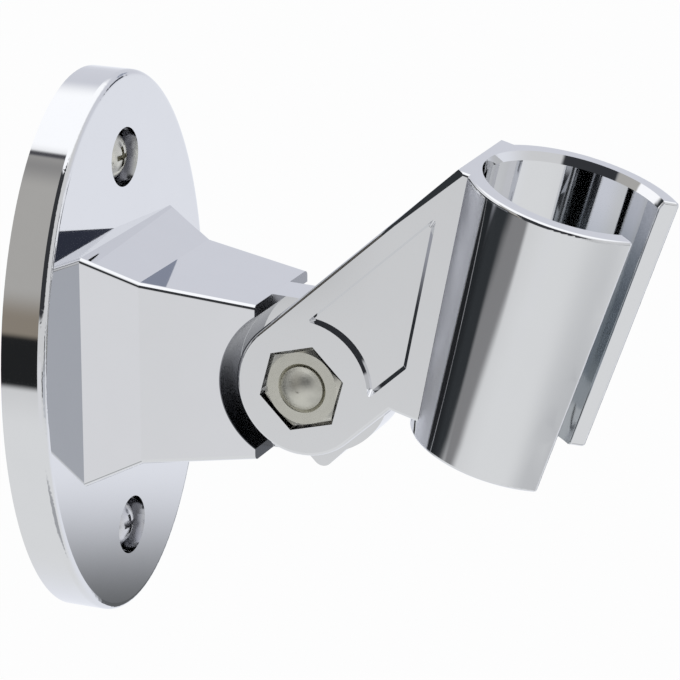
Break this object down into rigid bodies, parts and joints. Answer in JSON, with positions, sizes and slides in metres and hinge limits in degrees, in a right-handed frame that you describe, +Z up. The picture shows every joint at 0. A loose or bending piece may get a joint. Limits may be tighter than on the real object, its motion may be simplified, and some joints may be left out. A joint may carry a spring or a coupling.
{
  "type": "hand shower holder",
  "caption": "Chrome wall holder for a hand shower: an oval plate with a tapered arm carries a forked bar with a split conical socket that tilts on a bolt.",
  "frame": {"origin": "centre of the wall plate's back face, midway between the wall screws", "axes": "+X out of the wall, +Z up, Y along the pivot bolt"},
  "size_m": [0.088, 0.0506, 0.077],
  "materials": {
    "chrome_plate": "polished chrome plating",
    "nickel_steel": "nickel-plated steel, a little warm",
    "bright_steel": "bright steel",
    "friction_ring": "moulded black plastic"
  },
  "bodies": {
    "bracket": {"wall_bracket": "chrome_plate", "upper_wall_screw": "nickel_steel", "lower_wall_screw": "bright_steel"},
    "swing": {"socket_holder": "chrome_plate", "pivot_bolt": "nickel_steel", "pivot_nut": "nickel_steel", "near_friction_washer": "friction_ring", "far_friction_washer": "friction_ring"}
  },
  "joints": [
    {"name": "tilt", "type": "hinge", "parent": "bracket", "child": "swing", "pos_m": [0.036, 0, 0], "axis": [0, 1, 0], "range_deg": [-24, 50]}
  ]
}
